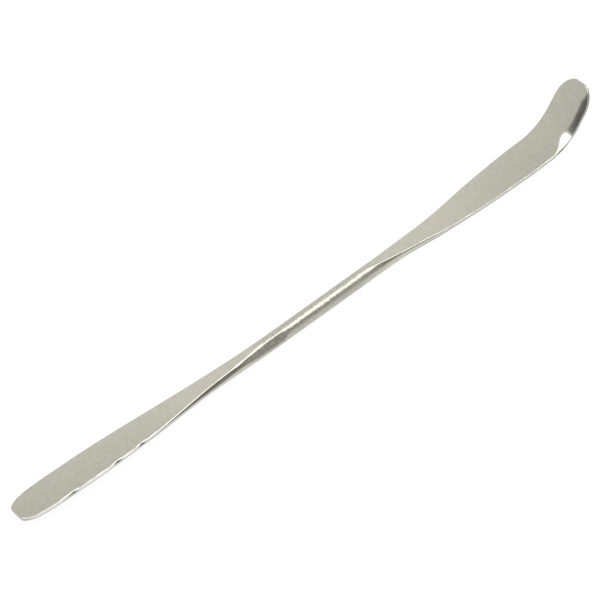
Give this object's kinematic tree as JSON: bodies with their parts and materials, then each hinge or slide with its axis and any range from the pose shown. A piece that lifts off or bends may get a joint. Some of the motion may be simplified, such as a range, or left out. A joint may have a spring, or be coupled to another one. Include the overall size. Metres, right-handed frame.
{
  "type": "sculpting spatula",
  "caption": "Slim bare-metal modelling spatula: round bar hammered into a straight rounded blade at one end and a wider turned-up blade at the other.",
  "frame": {"origin": "under the middle of the tool's length, on the surface it lies on, blades level, resting on the narrow flat of its bar", "axes": "+X along the round bar towards the turned-up end, +Z square to the blades on the side the tip turns to, +Y across the blades"},
  "size_m": [0.1997, 0.0114, 0.0181],
  "materials": {
    "bare_steel": "finely brushed and worn satin, bright where rubbed"
  },
  "bodies": {
    "root": {"spatula": "bare_steel"}
  },
  "joints": []
}
